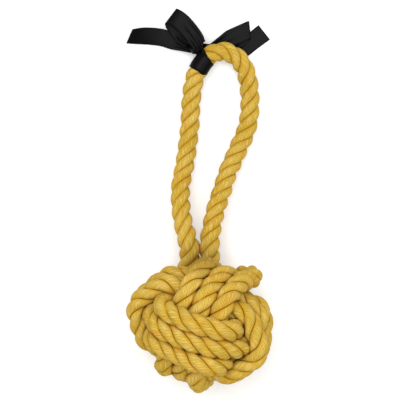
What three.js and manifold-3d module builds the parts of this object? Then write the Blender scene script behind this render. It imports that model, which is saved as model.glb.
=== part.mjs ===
// A rope ball toy on a rope handle, tied from one thick three-strand rope, with a ribbon bow.
// Millimetres, +Z up. The toy lies on the floor, Z = 0, with its ball towards -Y and its handle
// towards +Y, as it is seen from straight above.

import * as THREE from 'three';
import { mergeVertices } from 'three/addons/utils/BufferGeometryUtils.js';
import Module from 'manifold-3d';

const wasm = await Module();
wasm.setup();

// Clearances
const SEAT_GAP = 0.3;               // between pieces that touch
const BAND_GAP = 0.5;               // between the rope and the ribbon tied round it
const PASS_GAP = 0.7;               // added between two passes of the winding, and taken off its radius

// Rope
const ROPE_D = 14;
const ROPE_R = ROPE_D / 2;
const ROPE_SIDES = 12;
const WOUND_D = 13.2;               // the rope's size in the ball, where it is drawn tighter
const WOUND_R = WOUND_D / 2;
const FLAT_DEPTH = ROPE_D / 10;     // how far the rope is pressed flat where it lies on the floor
const BEND_STEP = 10;               // length of one straight facet of the handle

// Ball: a rubber core inside three sets of turns, each set across the other two
const CORE_D = 48;
const CORE_HEIGHT = 34;             // the core is pressed flat by the first and third sets
const TURNS = 3;                    // turns in each set
const FIRST_SET_TURNS = [-0.03, TURNS - 0.36];      // where each set starts and ends
const SECOND_SET_TURNS = [0, TURNS - 0.16];
const THIRD_SET_TURNS = [-0.04, TURNS - 0.02];
const STEPS_PER_TURN = 24;
const WINDING_SIDES = 6;
const CORE_FACETS = 28;
const THIRD_SET_FORWARD = 5;        // the last set lies this far towards the ball's front
const BALL_X = 2.6;
const BALL_Y = -89.3;

// Neck: where the two legs of the handle go into the ball
const NECK_Y = -42;
const NECK_BELOW_CENTRE = 24;
const NECK_RIGHT_X = 6.9;
const NECK_LEFT_X = -7.5;
const NECK_LENGTH = 28;             // the stretch of each leg that bends
const LEFT_END_LENGTH = 12;         // how deep the left leg's end is tucked in
const LEAD_SHARES = [1, 0.5, 0, -0.25, -0.5, -0.75];       // of the rope's size, along the right leg

// Handle: its centre line, up the right leg, over the top and down the left leg
const HANDLE_ROUTE = [
  [7.3, -28.8, 25.0], [9.8, -14.7, 22.4], [12.8, -3.4, 19.4], [17.0, 8.8, 15.6], [20.5, 20.1, 12.2],
  [25.1, 30.4, 9.6], [29.6, 40.8, 7.6], [33.7, 50.2, 6.4], [36.2, 60.5, 5.8], [36.8, 76.0, 5.6],
  [35.0, 90.5, 7.4], [31.0, 100.5, 9.6], [24.6, 107.0, 10.5], [16.2, 109.6, 10.8], [8.4, 107.2, 10.9],
  [1.4, 100.3, 10.8], [-4.0, 89.2, 9.8], [-6.6, 72.8, 8.0], [-7.4, 56.7, 7.0], [-9.0, 40.9, 7.8],
  [-11.7, 22.9, 11.2], [-13.8, 12.6, 14.2], [-14.3, -0.4, 18.4], [-12.7, -14.7, 22.2],
  [-9.2, -28.8, 25.0],
];

// Ribbon
const RIBBON_W = 13;
const RIBBON_T = 0.6;
const BAND_X = 2.1;                 // the place on the handle that the ribbon is tied round
const BAND_Y = 99.8;
const KNOT_LENGTH = 9;
const KNOT_T = 5;
const KNOT_FORWARD = 6.5;           // from the band's middle, along the rope
const RIBBON_FACETS = 12;
const BOW_REACH = 52;               // from the knot to the left tail's tip

// The bow's strips, as shares of its reach, each a row of places counted from the knot, with the
// direction across the ribbon there and the share of its width that shows
const TAIL_LEFT_SHARES = [
  [-0.07, -0.01, -0.035, 0.35, 0.94, 0.1, 0.75], [-0.2, 0.03, -0.09, 0.28, 0.95, 0, 0.85],
  [-0.36, 0.075, -0.12, 0.2, 0.98, 0, 1], [-0.53, 0.125, -0.14, 0.05, 1, 0.1, 1],
  [-0.74, 0.145, -0.135, 0.05, 0.95, 0.3, 1], [-0.98, 0.14, -0.11, 0.35, 0.75, 0.6, 1.05],
];
const LOOP_LEFT_SHARES = [
  [0.02, 0, 0.11, 0.8, 0.6, 0.1, 0.8], [-0.03, 0.09, 0.112, 0.8, 0.6, 0, 0.9],
  [-0.105, 0.19, 0.107, 0.8, 0.6, -0.1, 0.97], [-0.2, 0.3, 0.095, 0.68, 0.73, -0.1, 1],
  [-0.3, 0.385, 0.08, 0.62, 0.78, 0, 1], [-0.39, 0.42, 0.035, 0.6, 0.8, 0, 1.05],
  [-0.375, 0.36, 0, 0.64, 0.77, 0, 1.05], [-0.28, 0.21, -0.025, 0.72, 0.7, 0, 1],
  [-0.2, 0.09, -0.03, 0.78, 0.62, 0, 0.75], [-0.13, 0.03, -0.02, 0.8, 0.6, 0, 0.5],
];
const LOOP_RIGHT_SHARES = [
  [0.03, 0.03, -0.105, -0.4, 0.92, 0.1, 0.3], [0.15, -0.03, -0.15, -0.42, 0.91, 0, 0.4],
  [0.3, 0.03, -0.155, -0.42, 0.91, 0, 0.7], [0.44, 0.105, -0.155, -0.4, 0.92, 0, 0.97],
  [0.63, 0.19, -0.155, -0.3, 0.95, 0, 1], [0.73, 0.235, -0.163, -0.1, 0.99, 0, 1],
  [0.71, 0.2, -0.177, -0.1, 0.99, 0, 1], [0.6, 0.1, -0.178, -0.1, 0.99, 0, 0.95],
  [0.42, 0.04, -0.178, -0.3, 0.95, 0, 0.8], [0.27, -0.01, -0.178, -0.4, 0.92, 0, 0.5],
  [0.14, -0.03, -0.176, -0.4, 0.92, 0, 0.35],
];
const TAIL_RIGHT_SHARES = [
  [-0.02, 0.01, -0.12, 0.3, 0.95, 0, 0.35], [0.06, -0.02, -0.19, 0.2, 0.98, 0, 0.5],
  [0.2, -0.06, -0.196, 0.1, 1, 0, 0.7], [0.34, -0.075, -0.196, -0.05, 1, 0, 0.8],
  [0.47, -0.085, -0.196, -0.3, 0.95, 0, 0.85], [0.6, -0.06, -0.196, -0.6, 0.8, 0, 0.95],
  [0.757, 0.061, -0.196, -0.62, 0.785, 0, 1], [0.937, 0.201, -0.196, -0.62, 0.785, 0, 1.05],
];

// The ball's own right, top and front directions, turned and tipped as it lies
const BALL_TURN_DEG = -22;
const TIP_LEFT_DEG = 16;
const TIP_DOWN_DEG = 14;
const ballAxes = new THREE.Matrix4().makeRotationAxis(
  new THREE.Vector3(TIP_DOWN_DEG, -TIP_LEFT_DEG, 0).normalize(),
  THREE.MathUtils.degToRad(Math.hypot(TIP_DOWN_DEG, TIP_LEFT_DEG)),
).multiply(new THREE.Matrix4().makeRotationZ(THREE.MathUtils.degToRad(BALL_TURN_DEG)));

const COLOURS = { rope: 0xc9a145, core: 0x3b3b3b, ribbon: 0x151514 };

const toy = new THREE.Group();

function add(name, geometry, colour, roughness) {
  const material = new THREE.MeshStandardMaterial({ color: colour, roughness, metalness: 0 });
  const mesh = new THREE.Mesh(geometry, material);
  mesh.name = name;
  toy.add(mesh);
}

// Solids

function toSolid(geometry) {
  const bare = geometry.clone();
  bare.deleteAttribute('normal');
  bare.deleteAttribute('uv');
  const merged = mergeVertices(bare);
  return new wasm.Manifold(new wasm.Mesh({
    numProp: 3,
    vertProperties: new Float32Array(merged.attributes.position.array),
    triVerts: new Uint32Array(merged.index.array),
  }));
}

function fromSolid(solid) {
  const mesh = solid.getMesh();
  return fromCorners(Array.from(mesh.vertProperties), Array.from(mesh.triVerts));
}

function fromCorners(positions, index) {
  const geometry = new THREE.BufferGeometry();
  geometry.setAttribute('position', new THREE.Float32BufferAttribute(positions, 3));
  geometry.setIndex(index);
  geometry.computeVertexNormals();
  return geometry;
}

// Cuts away flat what would sink into the floor
function restOnFloor(geometry) {
  geometry.computeBoundingBox();
  const size = geometry.boundingBox.getSize(new THREE.Vector3());
  const middle = geometry.boundingBox.getCenter(new THREE.Vector3());
  const floor = new THREE.BoxGeometry(2 * size.x, 2 * size.y, 2 * size.z);
  floor.translate(middle.x, middle.y, -size.z);
  return fromSolid(toSolid(geometry).subtract(toSolid(floor)));
}

// Joins rings of equally many corners into one closed skin
function skin(rings) {
  const sides = rings[0].length;
  const index = [];
  for (let i = 0; i + 1 < rings.length; i++) {
    for (let k = 0; k < sides; k++) {
      const next = (k + 1) % sides;
      const [a, b] = [i * sides + k, i * sides + next];
      const [c, d] = [a + sides, b + sides];
      index.push(a, b, d, a, d, c);
    }
  }
  const last = (rings.length - 1) * sides;
  for (let k = 1; k + 1 < sides; k++) {
    index.push(0, k + 1, k);
    index.push(last, last + k, last + k + 1);
  }
  const positions = rings.flat().flatMap((corner) => corner.toArray());
  return fromCorners(positions, index);
}

// A round tube through the given points
function tube(points, radius, sides) {
  const side = new THREE.Vector3(0, 0, 1);
  const rings = points.map((point, i) => {
    const before = points[Math.max(i - 1, 0)];
    const after = points[Math.min(i + 1, points.length - 1)];
    const along = after.clone().sub(before).normalize();
    side.addScaledVector(along, -side.dot(along)).normalize();
    const turned = new THREE.Vector3().crossVectors(along, side);
    return Array.from({ length: sides }, (_, k) => {
      const angle = (k / sides) * 2 * Math.PI;
      return point.clone()
        .addScaledVector(side, radius * Math.cos(angle))
        .addScaledVector(turned, radius * Math.sin(angle));
    });
  });
  return skin(rings);
}

// Routes

function spacedPoints(points, count) {
  const curve = new THREE.CatmullRomCurve3(points, false, 'centripetal');
  curve.arcLengthDivisions = 8 * points.length;
  return curve.getSpacedPoints(count);
}

const routeLength = (points) => points.slice(1)
  .reduce((sum, point, i) => sum + point.distanceTo(points[i]), 0);

// The part of a curve between two lengths along it
class Stretch extends THREE.Curve {
  constructor(whole, from, to) {
    super();
    this.whole = whole;
    this.from = from / whole.getLength();
    this.to = to / whole.getLength();
  }

  getPoint(share, target) {
    return this.whole.getPointAt(THREE.MathUtils.lerp(this.from, this.to, share), target);
  }
}

// Winding: laid out round the ball's centre as three sets of ovals, then drawn tight

const FINE_STEP = WOUND_D / 4;
const RUNG = WOUND_D + PASS_GAP;             // between the centre lines of two passes that touch
const INNER_R = CORE_D / 2 + WOUND_R + SEAT_GAP;
const OUTER_R = INNER_R + WOUND_D;
const INNER_TOP = CORE_HEIGHT / 2 + WOUND_R + SEAT_GAP;
const OUTER_TOP = INNER_TOP + WOUND_D;
const OVAL_POWER = 2.6;                      // 2 is an ellipse, more is squarer
const LAYOUT_STEPS = 72;                     // points in one turn of the layout

const onBall = (right, top, front) => new THREE.Vector3(right, top, front).applyMatrix4(ballAxes);
const squared = (value) => Math.sign(value) * Math.abs(value) ** (2 / OVAL_POWER);

// A set keeps its place for half a turn, then moves over by one rope in the other half, but not
// after its last turn
function movedOver(turns) {
  const nearest = Math.floor(turns + 0.5);
  const share = THREE.MathUtils.smoothstep(2 * (turns - nearest), -0.5, 0.5);
  return RUNG * Math.min(nearest + share - (TURNS + 1) / 2, (TURNS - 1) / 2);
}

function layTurns([from, to], place) {
  const steps = Math.round((to - from) * LAYOUT_STEPS);
  return Array.from({ length: steps + 1 }, (_, i) => {
    const turns = from + (to - from) * i / steps;
    const angle = 2 * Math.PI * turns;
    return place(squared(Math.cos(angle)), squared(Math.sin(angle)), movedOver(turns));
  });
}

// Down the back, forward under the ball, up the front and back over the top
const firstSet = layTurns(FIRST_SET_TURNS, (cos, sin, over) => (
  onBall(over, -OUTER_TOP * sin, -INNER_R * cos)
));
// Left across the back, forward on the left, right across the front, back on the right
const secondSet = layTurns(SECOND_SET_TURNS, (cos, sin, over) => (
  onBall(-INNER_R * sin, -over, -OUTER_R * cos)
));
// Left below, up the left, right below the first set's top, down the right
const thirdSet = layTurns(THIRD_SET_TURNS, (cos, sin, over) => (
  onBall(-OUTER_R * sin, -INNER_TOP * cos, over + THIRD_SET_FORWARD)
));

const neckPoint = (x, back = 0, inward = 0) => (
  new THREE.Vector3(x - BALL_X - inward, NECK_Y - BALL_Y + back, -NECK_BELOW_CENTRE)
);
const rightLead = LEAD_SHARES.map((share) => neckPoint(NECK_RIGHT_X, share * WOUND_D));
const leftEnd = [
  neckPoint(NECK_LEFT_X, ROPE_D),
  neckPoint(NECK_LEFT_X),
  neckPoint(NECK_LEFT_X, -LEFT_END_LENGTH / 2, LEFT_END_LENGTH / 12),
  neckPoint(NECK_LEFT_X, -LEFT_END_LENGTH, LEFT_END_LENGTH / 4),
];

// Pushes two points apart until they are the wanted distance away from each other
function pushApart(a, b, wanted, pushA, pushB, share) {
  const between = a.clone().sub(b);
  const distance = between.length();
  if (distance >= wanted) return;
  between.multiplyScalar(share * (wanted - distance) / distance);
  pushA.add(between);
  if (pushB) pushB.sub(between);
}

// Pushes a point out of the core
const ballTop = onBall(0, 1, 0);
function pushOut(point, pushes) {
  const rounded = point.clone().addScaledVector(ballTop, point.dot(ballTop) * (INNER_R / INNER_TOP - 1));
  const distance = rounded.length();
  if (distance < INNER_R) pushes.addScaledVector(point, (INNER_R - distance) / distance);
}

const TIGHTEN_ROUNDS = 300;
const EASE_ROUNDS = 60;
const EVEN_ROUNDS = 20;              // after so many rounds the points are spaced evenly again
const PUSHES_PER_ROUND = 2;
const PULL_SHARE = 0.3;
const EASE_SHARE = 0.03;
const STIFF_SHARE = 0.2;
const PUSH_SHARE = 0.4;
const ANCHOR_PUSH_SHARE = 0.5;
const LONGEST_PUSH = WOUND_D / 14;
const NEIGHBOUR_SHARE = 1.35;        // passes nearer than this along the rope don't press

// Draws the rope tight round the core: each round shortens it and evens its bends, then pushes
// apart the passes that press on each other, on the core or on the left leg's end
function drawTight(layout, held, obstacles) {
  const count = Math.round(routeLength(layout) / FINE_STEP);
  let points = spacedPoints(layout, count);
  const apart = Math.ceil(NEIGHBOUR_SHARE * RUNG / FINE_STEP);
  for (let round = 0; round < TIGHTEN_ROUNDS + EASE_ROUNDS; round++) {
    const pull = round < TIGHTEN_ROUNDS ? PULL_SHARE : EASE_SHARE;
    const stiff = round < TIGHTEN_ROUNDS ? STIFF_SHARE : 0;
    const slack = points.map((point, i) => {
      if (i === 0 || i === count) return new THREE.Vector3();
      return points[i - 1].clone().add(points[i + 1]).multiplyScalar(0.5).sub(point);
    });
    points = points.map((point, i) => {
      if (i <= held || i >= count - 1) return point;
      const bend = slack[i - 1].clone().add(slack[i + 1]).multiplyScalar(0.5).sub(slack[i]);
      return point.clone().addScaledVector(slack[i], pull).addScaledVector(bend, -stiff);
    });
    for (let again = 0; again < PUSHES_PER_ROUND; again++) {
      const pushes = points.map(() => new THREE.Vector3());
      for (let i = 0; i <= count; i++) {
        for (let j = i + apart + 1; j <= count; j++) {
          if (Math.abs(points[i].x - points[j].x) > RUNG) continue;
          if (Math.abs(points[i].y - points[j].y) > RUNG) continue;
          pushApart(points[i], points[j], RUNG, pushes[i], pushes[j], PUSH_SHARE);
        }
        obstacles.forEach((other) => (
          pushApart(points[i], other, RUNG, pushes[i], null, ANCHOR_PUSH_SHARE)
        ));
        pushOut(points[i], pushes[i]);
      }
      points.forEach((point, i) => {
        if (i > held) point.add(pushes[i].clampLength(0, LONGEST_PUSH));
      });
    }
    if ((round + 1) % EVEN_ROUNDS === 0) {
      const kept = points.slice(0, held);
      points = [...kept, ...spacedPoints(points.slice(held), count - held)];
    }
  }
  return points;
}

// The least gap between the surfaces of two passes of one tube
function leastGap(points, radius) {
  const apart = 2 * Math.PI * radius / 2;
  const reached = [0];
  points.slice(1).forEach((point, i) => reached.push(reached[i] + point.distanceTo(points[i])));
  let least = Infinity;
  for (let i = 0; i < points.length; i++) {
    for (let j = i + 1; j < points.length; j++) {
      if (reached[j] - reached[i] < apart) continue;
      least = Math.min(least, points[i].distanceTo(points[j]) - 2 * radius);
    }
  }
  return least;
}

const layout = [...rightLead, ...firstSet, ...secondSet, ...thirdSet];
const obstacles = spacedPoints(leftEnd, Math.round(routeLength(leftEnd) / FINE_STEP));
const onLeg = Math.round(WOUND_D / FINE_STEP);      // the route's first points lie on the right leg
const leadLength = routeLength(rightLead);
const heldPoints = Math.round(leadLength / FINE_STEP);
const fineRoute = drawTight(layout, heldPoints, obstacles).slice(onLeg);
const turnLength = Math.PI * (INNER_R + OUTER_R);
const windingSteps = Math.round(routeLength(fineRoute) * STEPS_PER_TURN / turnLength);

const windingR = WOUND_R - PASS_GAP;
const lowest = Math.min(...fineRoute.map((point) => point.z));
const ballCentre = new THREE.Vector3(BALL_X, BALL_Y, windingR - FLAT_DEPTH - lowest);

const windingRoute = spacedPoints(fineRoute, windingSteps).map((point) => point.add(ballCentre));
const CHECK_SHARES = [0, 0.2, 0.4, 0.6, 0.8];
const checkRoute = windingRoute.slice(1).flatMap((point, i) => (
  CHECK_SHARES.map((share) => windingRoute[i].clone().lerp(point, share))
));
console.log(`least gap of the winding to itself: ${leastGap(checkRoute, windingR).toFixed(2)} mm`);
console.log(`length of the winding: ${routeLength(windingRoute).toFixed(0)} mm`);

function makeBall() {
  const core = new THREE.SphereGeometry(1, CORE_FACETS, CORE_FACETS / 2);
  core.scale(CORE_D / 2 - SEAT_GAP, CORE_HEIGHT / 2 - SEAT_GAP, CORE_D / 2 - SEAT_GAP);
  core.applyMatrix4(ballAxes);
  core.translate(...ballCentre.toArray());
  add('core_ball', core, COLOURS.core, 0.8);
  add('fist_winding', restOnFloor(tube(windingRoute, windingR, WINDING_SIDES)), COLOURS.rope, 0.9);
}

// Handle

function ropeSection() {
  const corners = Array.from({ length: ROPE_SIDES }, (_, k) => {
    const angle = (k / ROPE_SIDES) * 2 * Math.PI;
    return new THREE.Vector2(ROPE_R * Math.cos(angle), ROPE_R * Math.sin(angle));
  });
  return new THREE.Shape(corners);
}

// The curve starts and ends inside the ball and runs straight through the neck's two faces
const rightThrough = [-1, 0, 1].map((share) => neckPoint(NECK_RIGHT_X, share * ROPE_R));
const leftThrough = [neckPoint(NECK_LEFT_X, ROPE_R), ...leftEnd.slice(1)];
const handleCurve = new THREE.CatmullRomCurve3([
  ...rightThrough.map((point) => point.add(ballCentre)),
  ...HANDLE_ROUTE.map((place) => new THREE.Vector3(...place)),
  ...leftThrough.map((point) => point.clone().add(ballCentre)),
], false, 'centripetal');
const ROUTE_DIVISIONS = 400;
handleCurve.arcLengthDivisions = ROUTE_DIVISIONS;
const handleLength = handleCurve.getLength();
const rightNeckAt = ROPE_R;
const leftNeckAt = handleLength - LEFT_END_LENGTH;

function ropeBetween(from, to) {
  const steps = Math.ceil((to - from) / BEND_STEP);
  return new THREE.ExtrudeGeometry(ropeSection(), {
    steps, bevelEnabled: false, extrudePath: new Stretch(handleCurve, from, to),
  });
}

function makeHandle() {
  const loopFrom = rightNeckAt + NECK_LENGTH;
  const loopTo = leftNeckAt - NECK_LENGTH;
  const loop = ropeBetween(loopFrom + SEAT_GAP, loopTo - SEAT_GAP);
  add('handle_loop', restOnFloor(loop), COLOURS.rope, 0.9);
  add('neck_right', ropeBetween(rightNeckAt + SEAT_GAP, loopFrom), COLOURS.rope, 0.9);
  add('neck_left', ropeBetween(loopTo, leftNeckAt), COLOURS.rope, 0.9);
  add('left_rope_end', ropeBetween(leftNeckAt + SEAT_GAP, handleLength), COLOURS.rope, 0.9);
}

// Ribbon

function nearestLength(x, y) {
  const count = ROUTE_DIVISIONS;
  const distances = handleCurve.getSpacedPoints(count)
    .map((point) => Math.hypot(point.x - x, point.y - y));
  return handleLength * distances.indexOf(Math.min(...distances)) / count;
}

const bandAt = nearestLength(BAND_X, BAND_Y);
const bandR = ROPE_R + BAND_GAP;

function makeBand() {
  const ring = new THREE.Shape().absarc(0, 0, bandR + RIBBON_T, 0, 2 * Math.PI);
  ring.holes.push(new THREE.Path().absarc(0, 0, bandR, 0, 2 * Math.PI));
  const path = new Stretch(handleCurve, bandAt - RIBBON_W / 2, bandAt + RIBBON_W / 2);
  return new THREE.ExtrudeGeometry(ring, {
    steps: RIBBON_FACETS / 4, curveSegments: 2 * RIBBON_FACETS, bevelEnabled: false, extrudePath: path,
  });
}

const knotBase = handleCurve.getPointAt((bandAt - KNOT_FORWARD) / handleLength);
const knotAlong = handleCurve.getTangentAt((bandAt - KNOT_FORWARD) / handleLength);
const knotOut = new THREE.Vector3(0, 0, 1).cross(knotAlong).negate().setZ(0).normalize();
const knotR = bandR + RIBBON_T + SEAT_GAP + KNOT_T / 2;
const knot = knotBase.clone().addScaledVector(knotOut, knotR);

function makeKnot() {
  const lump = new THREE.SphereGeometry(1, RIBBON_FACETS, RIBBON_FACETS);
  lump.scale(KNOT_LENGTH / 2, KNOT_T / 2, KNOT_LENGTH / 2);
  lump.rotateZ(Math.atan2(knotAlong.y, knotAlong.x));
  lump.translate(...knot.toArray());
  return lump;
}

// A strip of ribbon through its places, with its width across the direction given at each
function strip(shares) {
  const stepsPerPlace = 3;
  const count = stepsPerPlace * (shares.length - 1);
  const places = new THREE.CatmullRomCurve3(shares.map(([x, y, z]) => new THREE.Vector3(x, y, z)));
  const acrosses = new THREE.CatmullRomCurve3(shares.map((row) => new THREE.Vector3(...row.slice(3, 6))));
  const rings = [];
  for (let i = 0; i <= count; i++) {
    const at = i / count;
    const row = Math.min(Math.floor(at * (shares.length - 1)), shares.length - 2);
    const widthShare = THREE.MathUtils.lerp(
      shares[row][6], shares[row + 1][6], at * (shares.length - 1) - row,
    );
    const point = places.getPoint(at).multiplyScalar(BOW_REACH).add(knot);
    const across = acrosses.getPoint(at);
    const up = new THREE.Vector3().crossVectors(places.getTangent(at), across).normalize();
    const wide = across.normalize().multiplyScalar(widthShare * RIBBON_W / 2);
    const thick = up.multiplyScalar(RIBBON_T / 2);
    rings.push([[1, 1], [-1, 1], [-1, -1], [1, -1]].map(([a, b]) => (
      point.clone().addScaledVector(wide, a).addScaledVector(thick, b)
    )));
  }
  return skin(rings);
}

function makeRibbon() {
  add('ribbon_band', makeBand(), COLOURS.ribbon, 0.4);
  add('ribbon_knot', makeKnot(), COLOURS.ribbon, 0.4);
  add('ribbon_loop_left', strip(LOOP_LEFT_SHARES), COLOURS.ribbon, 0.4);
  add('ribbon_loop_right', strip(LOOP_RIGHT_SHARES), COLOURS.ribbon, 0.4);
  add('ribbon_tail_left', strip(TAIL_LEFT_SHARES), COLOURS.ribbon, 0.4);
  add('ribbon_tail_right', strip(TAIL_RIGHT_SHARES), COLOURS.ribbon, 0.4);
}

makeBall();
makeHandle();
makeRibbon();

// The origin lies under the middle of the whole toy
const middle = new THREE.Box3().setFromObject(toy).getCenter(new THREE.Vector3());
toy.children.forEach((mesh) => mesh.geometry.translate(-middle.x, -middle.y, 0));
console.log(`moved by ${(-middle.x).toFixed(3)}, ${(-middle.y).toFixed(3)} mm`);

export default toy;
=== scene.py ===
# Looks for a rope ball toy on a rope handle, with a ribbon bow. Metres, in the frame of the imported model.

import math

import bpy
import numpy as np
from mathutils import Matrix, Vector


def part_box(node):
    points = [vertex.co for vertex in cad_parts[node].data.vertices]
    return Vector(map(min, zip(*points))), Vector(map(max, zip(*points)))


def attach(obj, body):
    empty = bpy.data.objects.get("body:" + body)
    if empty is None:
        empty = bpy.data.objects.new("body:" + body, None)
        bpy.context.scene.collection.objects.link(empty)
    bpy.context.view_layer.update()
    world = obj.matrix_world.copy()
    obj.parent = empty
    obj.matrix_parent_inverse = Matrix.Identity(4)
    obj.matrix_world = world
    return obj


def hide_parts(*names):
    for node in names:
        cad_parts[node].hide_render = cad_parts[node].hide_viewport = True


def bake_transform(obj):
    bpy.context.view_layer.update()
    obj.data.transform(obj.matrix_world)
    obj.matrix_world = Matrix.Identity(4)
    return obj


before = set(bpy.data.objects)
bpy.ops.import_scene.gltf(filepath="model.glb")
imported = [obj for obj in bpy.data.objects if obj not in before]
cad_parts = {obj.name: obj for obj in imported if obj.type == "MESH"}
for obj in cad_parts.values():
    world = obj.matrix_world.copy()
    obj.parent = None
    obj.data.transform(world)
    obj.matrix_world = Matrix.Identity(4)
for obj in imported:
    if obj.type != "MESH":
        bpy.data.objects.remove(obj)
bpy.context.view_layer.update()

# Clearances and rope, as in the part's source
SEAT_GAP = 0.0003
PASS_GAP = 0.0007
FLOOR_GAP = 0.0001
ROPE_D = 0.014
ROPE_R = ROPE_D / 2
WOUND_D = 0.0132
WOUND_R = WOUND_D / 2
CORE_D = 0.048
CORE_HEIGHT = 0.034
TURNS = 3
FIRST_SET_TURNS = (-0.03, TURNS - 0.36)
SECOND_SET_TURNS = (0, TURNS - 0.16)
THIRD_SET_TURNS = (-0.04, TURNS - 0.02)
THIRD_SET_FORWARD = 0.005
BALL_X = 0.0026
BALL_Y = -0.0893
NECK_Y = -0.042
NECK_BELOW_CENTRE = 0.024
NECK_RIGHT_X = 0.0069
NECK_LEFT_X = -0.0075
LEFT_END_LENGTH = 0.012
LEFT_END_ROUTE = [          # how far back along the leg and how far to the left, from the neck
    (ROPE_D, 0), (0, 0), (-LEFT_END_LENGTH / 2, LEFT_END_LENGTH / 12),
    (-LEFT_END_LENGTH, LEFT_END_LENGTH / 4),
]
LEAD_SHARES = [1, 0.5, 0, -0.25, -0.5, -0.75]
HANDLE_ROUTE = [
    (0.0073, -0.0288, 0.0250), (0.0098, -0.0147, 0.0224), (0.0128, -0.0034, 0.0194),
    (0.0170, 0.0088, 0.0156), (0.0205, 0.0201, 0.0122), (0.0251, 0.0304, 0.0096),
    (0.0296, 0.0408, 0.0076), (0.0337, 0.0502, 0.0064), (0.0362, 0.0605, 0.0058),
    (0.0368, 0.0760, 0.0056), (0.0350, 0.0905, 0.0074), (0.0310, 0.1005, 0.0096),
    (0.0246, 0.1070, 0.0105), (0.0162, 0.1096, 0.0108), (0.0084, 0.1072, 0.0109),
    (0.0014, 0.1003, 0.0108), (-0.0040, 0.0892, 0.0098), (-0.0066, 0.0728, 0.0080),
    (-0.0074, 0.0567, 0.0070), (-0.0090, 0.0409, 0.0078), (-0.0117, 0.0229, 0.0112),
    (-0.0138, 0.0126, 0.0142), (-0.0143, -0.0004, 0.0184), (-0.0127, -0.0147, 0.0222),
    (-0.0092, -0.0288, 0.0250),
]
BALL_TURN_DEG = -22
TIP_LEFT_DEG = 16
TIP_DOWN_DEG = 14

# Rope surface
RING_STEP = 0.0015
POINTS_PER_STRAND = 16
STRANDS = 3
STRAND_SHARE = 0.6          # a strand's radius, as a share of the rope's
CLEFT_SHARE = 0.9           # how far out the bottom of the cleft between two strands is
CLEFT_POWER = 1.5           # more brings the points nearer to the clefts
# A strand gets painted shade from SHADE_FROM_SHARE to the cleft
SHADE_FROM_SHARE = 0.84     # from here to the cleft, a strand darkens
LEG_R = 0.0073
BALL_R = 0.0077
NECK_R = 0.008              # where the two legs press against each other
LEGS_TOUCH = 2 * ROPE_D     # this far from the neck they are apart
LEG_PITCH = 0.031
BALL_PITCH = 0.036
YARNS_ROUND = 40
LEG_YARN_SLOPE = 0.02       # across the rope, for each metre along it
BALL_YARN_SLOPE = 0.3
SAME_PASS_LENGTH = 2 * ROPE_D
# Between SEAM_SHARE and OPEN_SHARE the colour gets painted shade where two passes meet
SEAM_SHARE = 1.05           # two passes meet about this many radii from each other's middle
OPEN_SHARE = 1.2            # and beyond this many, a pass's surface is open to the light
PRESSED_SHARE = 1.5         # up to here it is pressed out where two passes meet
SEAM_LIFT = 0.0014
# The painted shade in the clefts is paler on the open legs
LEG_CLEFT_SHARE = 0.6       # the clefts of the open legs are paler
# Painted shade where the legs come out from under the ball, fading out over NECK_SHADE_REACH
NECK_SHADE = 0.5            # where the legs come out from under the ball
NECK_SHADE_REACH = 0.02

# Ribbon
RIBBON_W = 0.013
RIBBON_T = 0.0004
BOW_REACH = 0.052
BAND_X = 0.0021
BAND_Y = 0.0998
BAND_HALF = 0.0062          # half the length of rope that the ribbon covers
SQUEEZE_SHARE = 0.16        # how much the ribbon narrows the rope
SQUEEZE_HALF = 0.0047       # the rope is narrowest up to here from the band's middle
SQUEEZE_END = 0.0078        # and has its own size again here

# The photograph's frame
PIXELS = 400
PIXEL = 0.000737
CAMERA_HEIGHT = 3.0
SCALE_HEIGHT = 0.012        # a pixel has the size above at this height
SENSOR_MM = 36.0
CLIP_END = 30.0


core_low, core_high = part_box("core_ball")
ball_centre = np.array((core_low + core_high) / 2)
moved = ball_centre - np.array([BALL_X, BALL_Y, ball_centre[2]])


def make_camera():
    """A camera straight above the place that is in the photograph's middle."""
    data = bpy.data.cameras.new("camera")
    data.sensor_width = SENSOR_MM
    data.lens = data.sensor_width * CAMERA_HEIGHT / (PIXELS * PIXEL)
    data.clip_end = CLIP_END
    camera = bpy.data.objects.new("camera", data)
    bpy.context.scene.collection.objects.link(camera)
    camera.location = (moved[0], moved[1], SCALE_HEIGHT + CAMERA_HEIGHT)
    bpy.context.scene.camera = camera


make_camera()


# Lines

LEAST_SPAN = 1e-9
LAYOUT_SPAN_STEPS = 2       # steps from one point to the next, on each of the smooth lines
EVEN_SPAN_STEPS = 4
WINDING_SPAN_STEPS = 6
HANDLE_SPAN_STEPS = 12


def running_total(steps):
    return np.concatenate([[0], np.cumsum(steps)])


def unit(vectors):
    return vectors / np.linalg.norm(vectors, axis=-1, keepdims=True)


def lengths(points):
    """How far along the line each of its points is."""
    return running_total(np.linalg.norm(np.diff(points, axis=0), axis=1))


def at_lengths(points, wanted):
    along = lengths(points)
    return np.stack([np.interp(wanted, along, points[:, k]) for k in range(3)], axis=1)


def evenly(points, count):
    """The line again, as count equal steps."""
    return at_lengths(points, np.linspace(0, lengths(points)[-1], count + 1))


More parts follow.
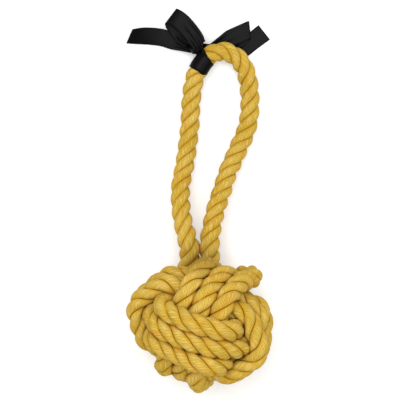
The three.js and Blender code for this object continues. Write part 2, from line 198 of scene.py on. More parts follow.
def smooth_line(points, per_span=HANDLE_SPAN_STEPS):
    """A centripetal Catmull-Rom line through the points."""
    points = np.asarray(points, float)
    first, last = 2 * points[0] - points[1], 2 * points[-1] - points[-2]
    padded = np.vstack([first, points, last])
    spans = np.maximum(np.linalg.norm(np.diff(padded, axis=0), axis=1), LEAST_SPAN)
    knots = running_total(spans ** 0.5)
    line = []
    for i in range(1, len(padded) - 2):
        p0, p1, p2, p3 = padded[i - 1:i + 3]
        t0, t1, t2, t3 = knots[i - 1:i + 3]
        t = np.linspace(t1, t2, per_span, endpoint=False)[:, None]
        a1 = (t1 - t) / (t1 - t0) * p0 + (t - t0) / (t1 - t0) * p1
        a2 = (t2 - t) / (t2 - t1) * p1 + (t - t1) / (t2 - t1) * p2
        a3 = (t3 - t) / (t3 - t2) * p2 + (t - t2) / (t3 - t2) * p3
        b1 = (t2 - t) / (t2 - t0) * a1 + (t - t0) / (t2 - t0) * a2
        b2 = (t3 - t) / (t3 - t1) * a2 + (t - t1) / (t3 - t1) * a3
        line.append((t2 - t) / (t2 - t1) * b1 + (t - t1) / (t2 - t1) * b2)
    return np.vstack(line + [points[-1:]])


def smoothstep(value, low, high):
    share = np.clip((value - low) / (high - low), 0, 1)
    return share * share * (3 - 2 * share)


def part_way(start, end, share):
    return start + (end - start) * share


# Winding: laid out round the ball's centre as three sets of ovals, then drawn tight

FINE_STEP = WOUND_D / 4
RUNG = WOUND_D + PASS_GAP
INNER_R = CORE_D / 2 + WOUND_R + SEAT_GAP
OUTER_R = INNER_R + WOUND_D
INNER_TOP = CORE_HEIGHT / 2 + WOUND_R + SEAT_GAP
OUTER_TOP = INNER_TOP + WOUND_D
OVAL_POWER = 2.6
LAYOUT_STEPS = 72
STEP_OVER = 0.5             # the share of a turn in which the line goes over to the next turn
TIGHTEN_ROUNDS = 300
EASE_ROUNDS = 60
EVEN_ROUNDS = 20
PUSHES_PER_ROUND = 2
PULL_SHARE = 0.3
EASE_SHARE = 0.03
STIFF_SHARE = 0.2
PUSH_SHARE = 0.4
ANCHOR_PUSH_SHARE = 0.5
LONGEST_PUSH = WOUND_D / 14
NEIGHBOUR_SHARE = 1.35
NEAR_SHARE = 1.25           # pairs nearer than this many rungs are watched
WATCH_ROUNDS = 4
LEAST_PUSH = 1e-12


def turned_about(axis, angle):
    """The rotation about an axis of length one."""
    x, y, z = axis
    cross = np.array([[0, -z, y], [z, 0, -x], [-y, x, 0]])
    return np.eye(3) + math.sin(angle) * cross + (1 - math.cos(angle)) * cross @ cross


tip = math.hypot(TIP_DOWN_DEG, TIP_LEFT_DEG)
ball_axes = (
    turned_about((TIP_DOWN_DEG / tip, -TIP_LEFT_DEG / tip, 0), math.radians(tip))
    @ turned_about((0, 0, 1), math.radians(BALL_TURN_DEG))
)


def squared(value):
    """A circle's sine or cosine, changed to that of a squarer oval."""
    return np.sign(value) * np.abs(value) ** (2 / OVAL_POWER)


def lay_turns(start_and_end, place):
    """One set of turns side by side, with a step over from each turn to the next."""
    start, end = start_and_end
    steps = round((end - start) * LAYOUT_STEPS)
    turns = start + (end - start) * np.arange(steps + 1) / steps
    whole = np.floor(turns + 0.5)
    share = smoothstep(2 * (turns - whole), -STEP_OVER, STEP_OVER)
    over = RUNG * np.minimum(whole + share - (TURNS + 1) / 2, (TURNS - 1) / 2)
    angle = 2 * math.pi * turns
    points = place(squared(np.cos(angle)), squared(np.sin(angle)), over)
    return np.stack(points, axis=1) @ ball_axes.T


def first_set(cos, sin, over):
    return over, -OUTER_TOP * sin, -INNER_R * cos


def second_set(cos, sin, over):
    return -INNER_R * sin, -over, -OUTER_R * cos


def third_set(cos, sin, over):
    return -OUTER_R * sin, -INNER_TOP * cos, over + THIRD_SET_FORWARD


def neck_point(x, back=0.0, left=0.0):
    """A place at a neck, counted from the ball's centre."""
    return [x - BALL_X - left, NECK_Y - BALL_Y + back, -NECK_BELOW_CENTRE]


def watched_pairs(points, apart):
    """The pairs of points that are near each other, but not near each other along the line."""
    distance = np.linalg.norm(points[:, None] - points[None], axis=2)
    return np.nonzero(np.triu(distance < NEAR_SHARE * RUNG, apart + 1))


def push(between, wanted, share):
    """A share of the way by which two points are nearer than they should be, along the line
    between them."""
    distance = np.linalg.norm(between, axis=-1, keepdims=True)
    return between * np.where(distance < wanted, share * (wanted - distance) / distance, 0)


def out_of_core(points):
    """The way out of the core for each point; the core is lower than it is wide."""
    own = points @ ball_axes
    own[:, 1] *= INNER_R / INNER_TOP
    distance = np.linalg.norm(own, axis=1, keepdims=True)
    return points * np.where(distance < INNER_R, (INNER_R - distance) / distance, 0)


def pulls(points, easing):
    """How each point moves as the line gets shorter and stiffer, or only a little shorter."""
    slack = np.zeros_like(points)
    slack[1:-1] = (points[:-2] + points[2:]) / 2 - points[1:-1]
    bend = np.zeros_like(points)
    bend[1:-1] = (slack[:-2] + slack[2:]) / 2 - slack[1:-1]
    pull = EASE_SHARE if easing else PULL_SHARE
    stiff = 0 if easing else STIFF_SHARE
    return pull * slack - stiff * bend


def pushes(points, pairs, obstacles):
    """How each point moves off the rest of the line, the obstacles and the core."""
    i, j = pairs
    between = push(points[i] - points[j], RUNG, PUSH_SHARE)
    moves = np.zeros_like(points)
    np.add.at(moves, i, between)
    np.subtract.at(moves, j, between)
    moves += push(points[:, None] - obstacles[None], RUNG, ANCHOR_PUSH_SHARE).sum(axis=1)
    moves += out_of_core(points)
    size = np.linalg.norm(moves, axis=1, keepdims=True)
    return moves * np.minimum(1, LONGEST_PUSH / np.maximum(size, LEAST_PUSH))


def draw_tight(layout, held, obstacles):
    """The line after all rounds. Its first points, up to the held one, stay in place."""
    count = round(lengths(layout)[-1] / FINE_STEP)
    points = evenly(layout, count)
    apart = math.ceil(NEIGHBOUR_SHARE * RUNG / FINE_STEP)
    free = np.arange(count + 1) > held
    pulled = free & (np.arange(count + 1) < count - 1)
    for turn in range(TIGHTEN_ROUNDS + EASE_ROUNDS):
        points[pulled] += pulls(points, turn >= TIGHTEN_ROUNDS)[pulled]
        if turn % WATCH_ROUNDS == 0:
            pairs = watched_pairs(points, apart)
        for _ in range(PUSHES_PER_ROUND):
            points[free] += pushes(points, pairs, obstacles)[free]
        if (turn + 1) % EVEN_ROUNDS == 0:
            rest = smooth_line(points[held:], EVEN_SPAN_STEPS)
            points = np.vstack([points[:held], evenly(rest, count - held)])
            pairs = watched_pairs(points, apart)
    return points


lead = np.array([neck_point(NECK_RIGHT_X, share * WOUND_D) for share in LEAD_SHARES])
left_end = np.array([neck_point(NECK_LEFT_X, back, left) for back, left in LEFT_END_ROUTE])


def wind_ball():
    """The winding's line from the right leg to its tucked end, round the ball's centre."""
    layout = np.vstack([
        lead,
        lay_turns(FIRST_SET_TURNS, first_set),
        lay_turns(SECOND_SET_TURNS, second_set),
        lay_turns(THIRD_SET_TURNS, third_set),
    ])
    end_length = lengths(left_end)[-1]
    obstacles = evenly(smooth_line(left_end), round(end_length / FINE_STEP))
    on_leg = round(WOUND_D / FINE_STEP)
    held = round(lengths(lead)[-1] / FINE_STEP)
    return draw_tight(smooth_line(layout, LAYOUT_SPAN_STEPS), held, obstacles)[on_leg:]


def rope_line():
    """The whole rope, from the winding's tucked end to the left leg's."""
    winding = wind_ball()[::-1] + ball_centre
    out_of = np.array([neck_point(NECK_RIGHT_X, ROPE_R)]) + ball_centre
    handle = np.array(HANDLE_ROUTE) + moved
    into = np.vstack([[neck_point(NECK_LEFT_X, ROPE_R)], left_end[1:]]) + ball_centre
    up = smooth_line(np.vstack([winding[-2:], out_of, handle, into]))
    handle_from = np.argmax(lengths(up) >= np.linalg.norm(winding[-1] - winding[-2]))
    whole = np.vstack([smooth_line(winding, WINDING_SPAN_STEPS), up[handle_from + 1:]])
    return evenly(whole, round(lengths(whole)[-1] / RING_STEP))


# Rope surface

def carried_sides(line):
    """At each point, the direction along the line and two across it that don't twist."""
    along = unit(np.gradient(line, axis=0))
    sides = np.zeros_like(line)
    side = np.array([0.0, 0.0, 1.0])
    for i, direction in enumerate(along):
        side = unit(side - direction * side.dot(direction))
        sides[i] = side
    return along, sides, np.cross(along, sides)


def strand_profile():
    """For one whole ring, the angles round the rope and at each how far out the surface is, how near to a
    cleft between two strands, and how deep in the cleft, which set its painted shade."""
    half = math.pi / STRANDS
    share = np.linspace(-1, 1, POINTS_PER_STRAND, endpoint=False)
    local = half * np.sign(share) * (1 - (1 - np.abs(share)) ** CLEFT_POWER)
    offset = 1 - STRAND_SHARE
    out = offset * np.cos(local) + np.sqrt(STRAND_SHARE ** 2 - (offset * np.sin(local)) ** 2)
    out[0] *= CLEFT_SHARE
    edge = np.abs(local) / half
    # how much painted shade each point gets near a cleft
    depth = smoothstep(edge, SHADE_FROM_SHARE, 1)
    angles = np.concatenate([local + 2 * half * k for k in range(STRANDS)])
    return angles, *(np.tile(values, STRANDS) for values in (out, edge, depth))


def mesh_piece(name, points, faces, smooth=True):
    data = bpy.data.meshes.new(name)
    data.from_pydata([tuple(p) for p in points], [], faces)
    data.validate()
    if smooth:
        data.shade_smooth()
    piece = bpy.data.objects.new(name, data)
    bpy.context.scene.collection.objects.link(piece)
    return piece


def tube_faces(rings, sides):
    faces = []
    for i in range(rings - 1):
        for k in range(sides):
            n = (k + 1) % sides
            faces.append((i * sides + k, i * sides + n, (i + 1) * sides + n, (i + 1) * sides + k))
    faces.append(tuple(range(sides - 1, -1, -1)))
    faces.append(tuple((rings - 1) * sides + k for k in range(sides)))
    return faces


def point_attribute(piece, name, kind, values):
    attribute = piece.data.attributes.new(name, kind, "POINT")
    field = "vector" if kind == "FLOAT_VECTOR" else "value"
    attribute.data.foreach_set(field, np.asarray(values, np.float32).ravel())


def band_index(line):
    """The point of the line that the ribbon is tied round."""
    centre = np.array([BAND_X, BAND_Y, 0]) + moved
    return int(np.argmin(np.linalg.norm((line - centre)[:, :2], axis=1)))


def reach_to_others(line, points):
    """How many radii each point of the surface is from the middle of another pass of the rope."""
    rings = np.arange(len(line))
    reach = np.full(points.shape[:2], 2 * PRESSED_SHARE)
    for i, ring in enumerate(points):
        apart = np.abs(rings - i) * RING_STEP > SAME_PASS_LENGTH
        near = np.linalg.norm(line - line[i], axis=1) < (1 + PRESSED_SHARE) * ROPE_R
        others = line[apart & near]
        if len(others):
            reach[i] = np.linalg.norm(ring[:, None] - others[None], axis=2).min(axis=1) / ROPE_R
    return reach


def pressed_out(points, reach, on_leg):
    """The surface lifted out of the ball where two passes meet, which makes the gap less deep."""
    pressed = 1 - smoothstep(reach, SEAM_SHARE, PRESSED_SHARE)
    lift = SEAM_LIFT * pressed * (1 - on_leg)[:, None]
    return points + lift[..., None] * unit(points - ball_centre)


def nearest(line, place):
    """The point of the line that is nearest to a place counted from the ball's centre."""
    return int(np.argmin(np.linalg.norm(line - ball_centre - place, axis=1)))


def neck_shade(points):
    """How much painted shade each point of the surface gets where the legs come out from under the ball."""
    distance = np.linalg.norm((points - ball_centre - neck_point(0))[..., :2], axis=-1)
    return NECK_SHADE * (1 - smoothstep(distance, 0, NECK_SHADE_REACH))


def leg_share(at, necks, ball_side, leg_side):
    """0 on the ball and 1 on the loop, with the change spread over a length at each neck."""
    right, left = necks
    onto_leg = smoothstep(at, right - ball_side, right + leg_side)
    off_leg = smoothstep(at, left - leg_side, left + ball_side)
    return onto_leg * (1 - off_leg)


def rope_radius(line, at, necks, on_leg):
    """The rope is thickest where the legs press together, and narrow under the ribbon."""
    apart = leg_share(at, necks, 0, LEGS_TOUCH)
    radius = part_way(NECK_R, LEG_R, apart) + (BALL_R - NECK_R) * (1 - on_leg)
    from_band = np.abs(at - at[band_index(line)])
    narrowed = SQUEEZE_SHARE * (1 - smoothstep(from_band, SQUEEZE_HALF, SQUEEZE_END))
    return radius * (1 - narrowed)


def twisted_rings(line, at, pitch, angles, far):
    """The surface, ring by ring, and each of its places on the rope as if it lay straight."""
    twist = running_total(2 * math.pi * np.diff(at) / pitch[1:])
    around = twist[:, None] + angles[None]
    x, y = far * np.cos(around), far * np.sin(around)
    _, side, other = carried_sides(line)
    points = line[:, None] + x[..., None] * side[:, None] + y[..., None] * other[:, None]
    return points, np.stack([x, y, np.broadcast_to(at[:, None], x.shape)], axis=2)


def make_rope():
    """The whole rope and its middle line. What its material needs is kept at its points."""
    line = rope_line()
    at = lengths(line)
    necks = [at[nearest(line, neck_point(x))] for x in (NECK_RIGHT_X, NECK_LEFT_X)]
    on_leg = leg_share(at, necks, ROPE_D, ROPE_R)
    angles, out, edge, depth = strand_profile()
    far = rope_radius(line, at, necks, on_leg)[:, None] * out[None]
    pitch = part_way(BALL_PITCH, LEG_PITCH, on_leg)
    points, straight = twisted_rings(line, at, pitch, angles, far)
    reach = reach_to_others(line, points)
    points = pressed_out(points, reach, on_leg)
    points[..., 2] = np.maximum(points[..., 2], FLOOR_GAP)
    slope = part_way(BALL_YARN_SLOPE, LEG_YARN_SLOPE, on_leg)
    yarns = running_total(YARNS_ROUND * slope[1:] * np.diff(at) / ROPE_R)
    looks = {
        # painted shade: a deeper gold towards each strand's sides
        "edge": np.tile(edge, len(line)),
        # painted shade in the clefts between strands, paler on the legs
        "cleft": np.outer(part_way(1, LEG_CLEFT_SHARE, on_leg), depth),
        # painted shade where two passes of the rope meet
        "seam_shade": 1 - smoothstep(reach, SEAM_SHARE, OPEN_SHARE),
        # painted shade where the legs come out from under the ball
        "shade": neck_shade(points),
        "yarns": np.repeat(yarns, len(angles)),
    }
    rope = mesh_piece("rope", points.reshape(-1, 3), tube_faces(len(line), len(angles)))
    point_attribute(rope, "straight", "FLOAT_VECTOR", straight)
    for name, values in looks.items():
        point_attribute(rope, name, "FLOAT", values)
    return rope, line


rope, line = make_rope()


# Materials

MIX_INPUTS = (0, 6, 7)      # the places of the share and the two colours among the node's inputs
MIX_OUTPUT = 2              # and of the mixed colour among its outputs


class Nodes:
    """A material's node tree, with one short call for each kind of node."""

    def __init__(self, name):
        self.material = bpy.data.materials.new(name)
        self.material.use_nodes = True
        self.tree = self.material.node_tree
        self.tree.nodes.clear()

    def put(self, socket, value):
        if isinstance(value, bpy.types.NodeSocket):
            self.tree.links.new(value, socket)
        else:
            socket.default_value = value

    def add(self, kind, inputs=None, **settings):
        node = self.tree.nodes.new(kind)
        for key, value in settings.items():
            setattr(node, key, value)
        for key, value in (inputs or {}).items():
            self.put(node.inputs[key], value)
        return node

    def attribute(self, name, output="Fac"):
        return self.add("ShaderNodeAttribute", attribute_name=name).outputs[output]

    def noise(self, place, detail, scale=1.0):
        inputs = {"Vector": place, "Scale": scale, "Detail": detail}
        return self.add("ShaderNodeTexNoise", inputs).outputs["Fac"]

    def scaled(self, place, scale):
        node = self.add("ShaderNodeVectorMath", {0: place, 1: scale}, operation="MULTIPLY")
        return node.outputs[0]

    def maths(self, operation, *values):
        node = self.add("ShaderNodeMath", operation=operation)
        for socket, value in zip(node.inputs, values):
            self.put(socket, value)
        return node.outputs[0]

    def mix(self, share, a, b):
        node = self.add("ShaderNodeMix", data_type="RGBA")
        for place, value in zip(MIX_INPUTS, (share, a, b)):
            self.put(node.inputs[place], value)
        return node.outputs[MIX_OUTPUT]

    def ramp(self, value, stops):
        node = self.add("ShaderNodeValToRGB", {"Fac": value})
        elements = node.color_ramp.elements
        while len(elements) < len(stops):
            elements.new(0.5)
        for element, (at, colour) in zip(elements, stops):
            element.position = at
            element.color = colour
        return node.outputs[0]

    def bump(self, height, strength, depth, under=None):
        inputs = {"Height": height, "Strength": strength, "Distance": depth}
        if under:
            inputs["Normal"] = under
        return self.add("ShaderNodeBump", inputs).outputs[0]

    def finish(self, shader):
        self.add("ShaderNodeOutputMaterial", {"Surface": shader.outputs[0]})
        return self.material


def grey(value):
    return (value, value, value, 1)


def linear(red, green, blue):
    """A colour of the screen, 0 to 255, as the light that a material takes."""
    def one(value):
        share = value / 255
        return share / 12.92 if share <= 0.04045 else ((share + 0.055) / 1.055) ** 2.4
    return (one(red), one(green), one(blue), 1)


# How much detail a noise has
COARSE = 2.0
MIDDLE = 3.0
FINE = 4.0

# Rope colours
ROPE_LIGHT = linear(226, 195, 112)
ROPE_MIDDLE = linear(192, 159, 34)
ROPE_DARK = linear(156, 116, 4)
ROPE_WARM = linear(202, 136, 22)
# painted shade: the deeper gold of a strand's shaded sides
ROPE_GOLD_SHADE = linear(202, 156, 4)
# painted shade in the clefts between strands
ROPE_CLEFT_SHADE = linear(138, 84, 0)
# painted shade where passes meet, darkest where a cleft meets a seam
ROPE_SEAM_SHADE = linear(168, 104, 0)
ROPE_DEEP_SHADE = linear(52, 18, 0)
# painted shade at the neck, under the ball
ROPE_SHADED = linear(130, 102, 44)

# Rope yarns
WOBBLE_SCALE = 260.0
WOBBLE_ANGLE = 7.0          # a yarn is one wave, so it takes two pi
RIDGE_POWER = 0.6
ROPE_ROUGHNESS = 0.92
ROPE_SPECULAR = 0.04
YARN_BUMP = 0.6
YARN_DEPTH = 0.0006
FIBRE_SCALE = (2600.0, 2600.0, 260.0)
FIBRE_BUMP = 0.35
FIBRE_DEPTH = 0.0003

# Rope tones: how much each pattern counts, its scale, and where each colour fades in or out
RIDGE_TONE = 0.44
FIBRE_TONE = 0.42
PATCH_TONE = 0.4
PATCH_SCALE = 60.0
TONE_STOPS = [(0.3, ROPE_DARK), (0.6, ROPE_MIDDLE), (0.95, ROPE_LIGHT)]
WARM_SCALE = (240.0, 240.0, 40.0)
WARM_STOPS = [(0.48, grey(0)), (0.7, grey(0.45))]
STREAK_ACROSS = 0.16        # times two pi, about one change of tone for each yarn
STREAK_ALONG = 110.0
WARM_STREAK_STOPS = [(0.28, grey(0.45)), (0.42, grey(0))]
LIGHT_STREAK_STOPS = [(0.52, grey(0)), (0.68, grey(0.75))]
# painted shade: how much deeper gold a strand gets towards its sides
GOLD_SHADE_STOPS = [(0.5, grey(0)), (1.0, grey(0.6))]
# how uneven the painted shade in the clefts is
CLEFT_CHANGE_SCALE = 150.0
CLEFT_CHANGE_STOPS = [(0.3, grey(0)), (0.5, grey(0.95))]
# how strong the painted shade is where passes meet
SEAM_SHADE_DARKNESS = 0.85

# Core and ribbon
SPECKLE_SCALE = 900.0
SPECKLE_STOPS = [(0.3, grey(0.02)), (0.7, grey(0.045))]
CORE_ROUGHNESS = 0.7
SPECKLE_BUMP = 0.3
SPECKLE_DEPTH = 0.0003
THREAD_SCALE = (5200.0, 900.0, 1.0)
THREAD_STOPS = [(0.3, grey(0.001)), (0.7, grey(0.003))]
RIBBON_ROUGHNESS = 0.36
RIBBON_SPECULAR = 0.07
THREAD_BUMP = 0.25
THREAD_DEPTH = 0.0001


def yarn_ridges(nodes, straight, parts):
    """Where a place is across the yarns, as the angle of their waves, and how high it is."""
    turn = nodes.maths("ARCTAN2", parts[1], parts[0])
    yarns = nodes.maths("MULTIPLY_ADD", turn, YARNS_ROUND, nodes.attribute("yarns"))
    wobble = nodes.noise(straight, MIDDLE, WOBBLE_SCALE)
    yarns = nodes.maths("MULTIPLY_ADD", wobble, WOBBLE_ANGLE, yarns)
    wave = nodes.maths("MULTIPLY_ADD", nodes.maths("SINE", yarns), 0.5, 0.5)
    return yarns, nodes.maths("POWER", wave, RIDGE_POWER)


def streak_noise(nodes, yarns, along):
    """A noise that runs along the yarns."""
    place = nodes.add("ShaderNodeCombineXYZ", {
        "X": nodes.maths("MULTIPLY", yarns, STREAK_ACROSS),
        "Y": nodes.maths("MULTIPLY", along, STREAK_ALONG),
    }).outputs[0]
    return nodes.noise(place, COARSE)


def dyed_cotton(nodes, straight, ridge, fibres, streaks):
    """The colour of the strands, away from the clefts."""
    patches = nodes.noise(straight, MIDDLE, PATCH_SCALE)
    tone = nodes.maths("MULTIPLY", fibres, FIBRE_TONE)
    tone = nodes.maths("MULTIPLY_ADD", ridge, RIDGE_TONE, tone)
    tone = nodes.maths("MULTIPLY_ADD", patches, PATCH_TONE, tone)
    colour = nodes.ramp(tone, TONE_STOPS)
    warm = nodes.noise(nodes.scaled(straight, WARM_SCALE), MIDDLE)
    colour = nodes.mix(nodes.ramp(warm, WARM_STOPS), colour, ROPE_WARM)
    colour = nodes.mix(nodes.ramp(streaks, WARM_STREAK_STOPS), colour, ROPE_WARM)
    return nodes.mix(nodes.ramp(streaks, LIGHT_STREAK_STOPS), colour, ROPE_LIGHT)


def with_painted_shade(nodes, colour, straight):
    """The colour with painted shade: deeper gold towards the strands' sides, and darker clefts, seams and
    neck.
    """
    cleft = nodes.attribute("cleft")
    seam_shade = nodes.attribute("seam_shade")
    # painted shade: deeper gold towards each strand's sides
    colour = nodes.mix(nodes.ramp(nodes.attribute("edge"), GOLD_SHADE_STOPS), colour, ROPE_GOLD_SHADE)
    # painted shade where the legs come out from under the ball
    colour = nodes.mix(nodes.attribute("shade"), colour, ROPE_SHADED)
    # painted shade in the clefts between strands, uneven along the rope
    changes = nodes.noise(straight, COARSE, CLEFT_CHANGE_SCALE)
    uneven = nodes.ramp(changes, CLEFT_CHANGE_STOPS)
    colour = nodes.mix(nodes.maths("MULTIPLY", cleft, uneven), colour, ROPE_CLEFT_SHADE)
    # painted shade where two passes meet
    colour = nodes.mix(nodes.maths("MULTIPLY", seam_shade, SEAM_SHADE_DARKNESS), colour, ROPE_SEAM_SHADE)
    # darkest painted shade, where a cleft meets a seam
    return nodes.mix(nodes.maths("MULTIPLY", seam_shade, cleft), colour, ROPE_DEEP_SHADE)


def rope_material():
    nodes = Nodes("twisted_cotton")
    straight = nodes.attribute("straight", "Vector")
    parts = nodes.add("ShaderNodeSeparateXYZ", {0: straight}).outputs
    yarns, ridge = yarn_ridges(nodes, straight, parts)
    fibres = nodes.noise(nodes.scaled(straight, FIBRE_SCALE), FINE)
    streaks = streak_noise(nodes, yarns, parts[2])
    colour = dyed_cotton(nodes, straight, ridge, fibres, streaks)
    colour = with_painted_shade(nodes, colour, straight)
    bump = nodes.bump(ridge, YARN_BUMP, YARN_DEPTH)
    bump = nodes.bump(fibres, FIBRE_BUMP, FIBRE_DEPTH, bump)
    shader = nodes.add("ShaderNodeBsdfPrincipled", {
        "Base Color": colour, "Roughness": ROPE_ROUGHNESS,
        "Specular IOR Level": ROPE_SPECULAR, "Normal": bump,
    })
    return nodes.finish(shader)


def core_material():
    nodes = Nodes("dull_rubber")
    place = nodes.add("ShaderNodeTexCoord").outputs["Object"]
    speckle = nodes.noise(place, FINE, SPECKLE_SCALE)
    shader = nodes.add("ShaderNodeBsdfPrincipled", {
        "Base Color": nodes.ramp(speckle, SPECKLE_STOPS), "Roughness": CORE_ROUGHNESS,
        "Normal": nodes.bump(speckle, SPECKLE_BUMP, SPECKLE_DEPTH),
    })
    return nodes.finish(shader)


def ribbon_material():
    nodes = Nodes("black_satin")
    place = nodes.scaled(nodes.attribute("cloth", "Vector"), THREAD_SCALE)
    threads = nodes.noise(place, COARSE)
    shader = nodes.add("ShaderNodeBsdfPrincipled", {
        "Base Color": nodes.ramp(threads, THREAD_STOPS), "Roughness": RIBBON_ROUGHNESS,
        "Specular IOR Level": RIBBON_SPECULAR,
        "Normal": nodes.bump(threads, THREAD_BUMP, THREAD_DEPTH),
    })
    return nodes.finish(shader)


def set_material(piece, material):
    piece.data.materials.clear()
    piece.data.materials.append(material)


set_material(rope, rope_material())
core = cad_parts["core_ball"]
core.data.materials.clear()
core.data.materials.append(core_material())

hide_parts("fist_winding", "handle_loop", "neck_right", "neck_left", "left_rope_end")
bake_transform(rope)


# Ribbon: the strips' places as shares of the bow's reach, as in the part's source, each a row of
# a place counted from the knot, the direction across the ribbon there and the share of its width

TAIL_LEFT_SHARES = [
    [-0.07, -0.01, -0.035, 0.35, 0.94, 0.1, 0.75], [-0.2, 0.03, -0.09, 0.28, 0.95, 0, 0.85],
    [-0.36, 0.075, -0.12, 0.2, 0.98, 0, 1], [-0.53, 0.125, -0.14, 0.05, 1, 0.1, 1],
    [-0.74, 0.145, -0.135, 0.05, 0.95, 0.3, 1], [-0.98, 0.14, -0.11, 0.35, 0.75, 0.6, 1.05],
]
LOOP_LEFT_SHARES = [
    [0.02, 0, 0.11, 0.8, 0.6, 0.1, 0.8], [-0.03, 0.09, 0.112, 0.8, 0.6, 0, 0.9],
    [-0.105, 0.19, 0.107, 0.8, 0.6, -0.1, 0.97], [-0.2, 0.3, 0.095, 0.68, 0.73, -0.1, 1],
    [-0.3, 0.385, 0.08, 0.62, 0.78, 0, 1], [-0.39, 0.42, 0.035, 0.6, 0.8, 0, 1.05],
    [-0.375, 0.36, 0, 0.64, 0.77, 0, 1.05], [-0.28, 0.21, -0.025, 0.72, 0.7, 0, 1],
    [-0.2, 0.09, -0.03, 0.78, 0.62, 0, 0.75], [-0.13, 0.03, -0.02, 0.8, 0.6, 0, 0.5],
]
LOOP_RIGHT_SHARES = [
    [0.03, 0.03, -0.105, -0.4, 0.92, 0.1, 0.3], [0.15, -0.03, -0.15, -0.42, 0.91, 0, 0.4],
    [0.3, 0.03, -0.155, -0.42, 0.91, 0, 0.7], [0.44, 0.105, -0.155, -0.4, 0.92, 0, 0.97],
    [0.63, 0.19, -0.155, -0.3, 0.95, 0, 1], [0.73, 0.235, -0.163, -0.1, 0.99, 0, 1],
    [0.71, 0.2, -0.177, -0.1, 0.99, 0, 1], [0.6, 0.1, -0.178, -0.1, 0.99, 0, 0.95],
    [0.42, 0.04, -0.178, -0.3, 0.95, 0, 0.8], [0.27, -0.01, -0.178, -0.4, 0.92, 0, 0.5],
    [0.14, -0.03, -0.176, -0.4, 0.92, 0, 0.35],
]
TAIL_RIGHT_SHARES = [
    [-0.02, 0.01, -0.12, 0.3, 0.95, 0, 0.35], [0.06, -0.02, -0.19, 0.2, 0.98, 0, 0.5],
    [0.2, -0.06, -0.196, 0.1, 1, 0, 0.7], [0.34, -0.075, -0.196, -0.05, 1, 0, 0.8],
    [0.47, -0.085, -0.196, -0.3, 0.95, 0, 0.85], [0.6, -0.06, -0.196, -0.6, 0.8, 0, 0.95],
    [0.757, 0.061, -0.196, -0.62, 0.785, 0, 1], [0.937, 0.201, -0.196, -0.62, 0.785, 0, 1.05],
]
RING_POINTS = 49
BAND_ROWS = 9
WRAP_LAYERS = [("ribbon_wrap", 0.0004, -14), ("ribbon_wrap_over", 0.001, 0)]
KNOT_SWELL = np.array([1.3, 1.35, 1.0])
KNOT_SHIFT = np.array([-0.0012, -0.0018, 0])
FOLD_SHARE = 0.08
KNOT_FOLDS = 7
KNOT_FOLD_TWIST = 2
KNOT_ROWS = 32
KNOT_COLUMNS = 48
GATHER_DEPTH = RIBBON_W / 14
GATHER_FOLDS = 2.5
ACROSS_STEPS = 12
ROW_STEPS = 12

knot_low, knot_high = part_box("ribbon_knot")
knot = np.array((knot_low + knot_high) / 2)
ribbon_cloth = ribbon_material()


def sheet_faces(rows, columns):
    """The faces of a grid, of a second one behind it, and of the rim between the two."""
    back = rows * columns
    faces = []
    for i in range(rows - 1):
        for k in range(columns - 1):
            a, b = i * columns + k, (i + 1) * columns + k
            faces.append((a, b, b + 1, a + 1))
            faces.append((back + a, back + a + 1, back + b + 1, back + b))
    rim = list(range(columns))
    rim += [i * columns + columns - 1 for i in range(1, rows)]
    rim += [(rows - 1) * columns + k for k in range(columns - 2, -1, -1)]
    rim += [i * columns for i in range(rows - 2, 0, -1)]
    for a, b in zip(rim, rim[1:] + rim[:1]):
        faces.append((a, b, back + b, back + a))
    return faces


def thick_sheet(name, grid):
    """A closed sheet of ribbon, with its places in the uncut ribbon kept for the weave."""
    rows, columns = grid.shape[:2]
    up = unit(np.cross(np.gradient(grid, axis=0), np.gradient(grid, axis=1)))
    both = np.concatenate([grid + up * RIBBON_T / 2, grid - up * RIBBON_T / 2])
    both[..., 2] = np.maximum(both[..., 2], FLOOR_GAP)
    piece = mesh_piece(name, both.reshape(-1, 3), sheet_faces(rows, columns))
    reached = lengths(grid[:, columns // 2])
    place = np.stack(np.broadcast_arrays(
        np.linspace(0, RIBBON_W, columns)[None], reached[:, None], np.zeros((rows, columns)),
    ), axis=2)
    point_attribute(piece, "cloth", "FLOAT_VECTOR", np.concatenate([place, place]))
    return piece, reached[-1]


def ribbon_strip(name, node, shares):
    """A strip of the bow, gathered into folds where it is narrower than the ribbon."""
    rows = np.array(shares, float)
    count = (len(rows) - 1) * ROW_STEPS + 1
    at = np.linspace(0, len(rows) - 1, count)
    line = smooth_line(rows[:, :3], ROW_STEPS) * BOW_REACH + knot
    across = unit(smooth_line(rows[:, 3:6], ROW_STEPS))
    up = unit(np.cross(np.gradient(line, axis=0), across))
    width = np.interp(at, np.arange(len(rows)), rows[:, 6])
    share = np.linspace(-1, 1, ACROSS_STEPS + 1)
    gather = GATHER_DEPTH * np.sqrt(np.clip(1 - width ** 2, 0, 1))
    fold = np.cos(GATHER_FOLDS * math.pi * share)
    grid = (
        line[:, None]
        + (width * RIBBON_W / 2)[:, None, None] * share[None, :, None] * across[:, None]
        + (gather[:, None] * fold[None])[..., None] * up[:, None]
    )
    piece, long = thick_sheet(name, grid)
    set_material(piece, ribbon_cloth)
    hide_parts(node)
    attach(piece, "handle")


def ring_of_cloth(middle, radius, tilt):
    """Rows of points round the rope at its place in the line, the ring tipped along the rope."""
    along, side, other = carried_sides(line)
    turn = np.linspace(0, 2 * math.pi, RING_POINTS)
    steps = np.linspace(-BAND_HALF, BAND_HALF, BAND_ROWS)
    across = np.cross(along[middle], [0, 0, 1])
    grid = []
    for step in steps:
        at = middle + step / RING_STEP
        i = int(at)
        centre = line[i] + (at - i) * (line[i + 1] - line[i])
        ring = np.cos(turn)[:, None] * side[i] + np.sin(turn)[:, None] * other[i]
        lean = (ring @ across)[:, None] * math.tan(tilt) * radius * along[middle]
        grid.append(centre + radius * ring + lean)
    return np.array(grid)


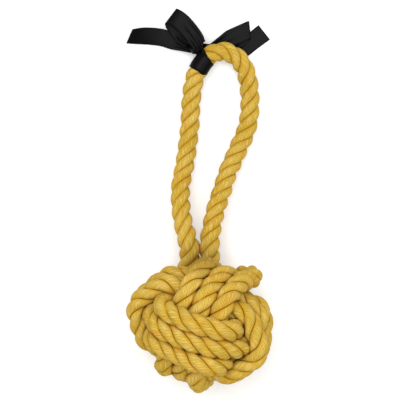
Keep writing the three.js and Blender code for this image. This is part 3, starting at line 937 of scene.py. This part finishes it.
def ribbon_wrap():
    """The ribbon tied round the rope, in two layers that cross a little."""
    squeezed = (1 - SQUEEZE_SHARE) * LEG_R
    for name, above, tilt_deg in WRAP_LAYERS:
        grid = ring_of_cloth(band_index(line), squeezed + above, math.radians(tilt_deg))
        piece, _ = thick_sheet(name, grid)
        set_material(piece, ribbon_cloth)
        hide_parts("ribbon_band")
        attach(piece, "handle")


def ribbon_lump():
    """The knot: a soft lump with folds, that fills the space between the loops and the band."""
    size = KNOT_SWELL * np.array(knot_high - knot_low) / 2
    rows, columns = KNOT_ROWS, KNOT_COLUMNS
    points, faces = [], []
    for i in range(rows + 1):
        tilt = math.pi * i / rows
        for k in range(columns):
            turn = 2 * math.pi * k / columns
            fold = math.cos(KNOT_FOLDS * turn + KNOT_FOLD_TWIST * tilt)
            out = 1 + FOLD_SHARE * fold * math.sin(tilt)
            points.append(knot + KNOT_SHIFT + size * out * np.array([
                math.sin(tilt) * math.cos(turn), math.sin(tilt) * math.sin(turn), math.cos(tilt),
            ]))
    for i in range(rows):
        for k in range(columns):
            n = (k + 1) % columns
            here, below = i * columns, (i + 1) * columns
            faces.append((here + k, below + k, below + n, here + n))
    piece = mesh_piece("ribbon_knot_wrap", points, faces)
    point_attribute(piece, "cloth", "FLOAT_VECTOR", np.array(points))
    set_material(piece, ribbon_cloth)
    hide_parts("ribbon_knot")
    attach(piece, "handle")


ribbon_wrap()
ribbon_lump()
ribbon_strip("left_tail", "ribbon_tail_left", TAIL_LEFT_SHARES)
ribbon_strip("left_loop", "ribbon_loop_left", LOOP_LEFT_SHARES)
ribbon_strip("right_loop", "ribbon_loop_right", LOOP_RIGHT_SHARES)
ribbon_strip("right_tail", "ribbon_tail_right", TAIL_RIGHT_SHARES)


# Floor, lamps and world

FLOOR_SIZE = 4.0
FLOOR_SHINE = 0.2           # near the toy, where the shadow shows
FAR_SHINE = 0.7
SHINE_FROM = 0.35           # distances from the middle of the floor
SHINE_TO = 1.4
FLOOR_GREY = 0.85
LAMP_SIZE = 1.5
LAMP_HEIGHT = 1.8
KEY_PLACE = (-0.3, 0.4, LAMP_HEIGHT)
KEY_WATTS = 25.0
FILL_PLACE = (0.7, -0.5, LAMP_HEIGHT)
FILL_WATTS = KEY_WATTS / 2
SKY = 0.58


def make_floor():
    """A floor that takes the shadow. To the camera it glows towards white away from the toy."""
    half = FLOOR_SIZE / 2
    corners = [(-half, -half, 0), (half, -half, 0), (half, half, 0), (-half, half, 0)]
    floor = mesh_piece("floor", corners, [(0, 1, 2, 3)], smooth=False)
    nodes = Nodes("pale_floor")
    ray = nodes.add("ShaderNodeLightPath").outputs["Is Camera Ray"]
    place = nodes.add("ShaderNodeTexCoord").outputs["Object"]
    distance = nodes.add("ShaderNodeVectorMath", {0: place}, operation="LENGTH").outputs["Value"]
    shine = nodes.add("ShaderNodeMapRange", {
        "Value": distance, "From Min": SHINE_FROM, "From Max": SHINE_TO,
        "To Min": FLOOR_SHINE, "To Max": FAR_SHINE,
    }).outputs[0]
    plain = nodes.add("ShaderNodeBsdfDiffuse", {"Color": grey(FLOOR_GREY)})
    glow = nodes.add("ShaderNodeEmission", {
        "Color": grey(1), "Strength": nodes.maths("MULTIPLY", ray, shine),
    })
    both = nodes.add("ShaderNodeAddShader", {0: plain.outputs[0], 1: glow.outputs[0]})
    floor.data.materials.append(nodes.finish(both))


def make_lamp(name, place, watts):
    """A soft lamp that points at the middle of the floor."""
    data = bpy.data.lights.new(name, "AREA")
    data.energy = watts
    data.size = LAMP_SIZE
    lamp = bpy.data.objects.new(name, data)
    bpy.context.scene.collection.objects.link(lamp)
    lamp.location = place
    lamp.rotation_euler = (-Vector(place)).to_track_quat("-Z", "Y").to_euler()


def make_world():
    """A white sky for the camera, and a less bright one as light."""
    world = bpy.data.worlds.new("studio")
    world.use_nodes = True
    tree = world.node_tree
    background = tree.nodes["Background"]
    background.inputs["Color"].default_value = grey(1)
    strength = tree.nodes.new("ShaderNodeMapRange")
    strength.inputs["To Min"].default_value = SKY
    ray = tree.nodes.new("ShaderNodeLightPath").outputs["Is Camera Ray"]
    tree.links.new(ray, strength.inputs["Value"])
    tree.links.new(strength.outputs[0], background.inputs["Strength"])
    bpy.context.scene.world = world
    bpy.context.scene.view_settings.view_transform = "Standard"


make_floor()
make_lamp("key", KEY_PLACE, KEY_WATTS)
make_lamp("fill", FILL_PLACE, FILL_WATTS)
make_world()
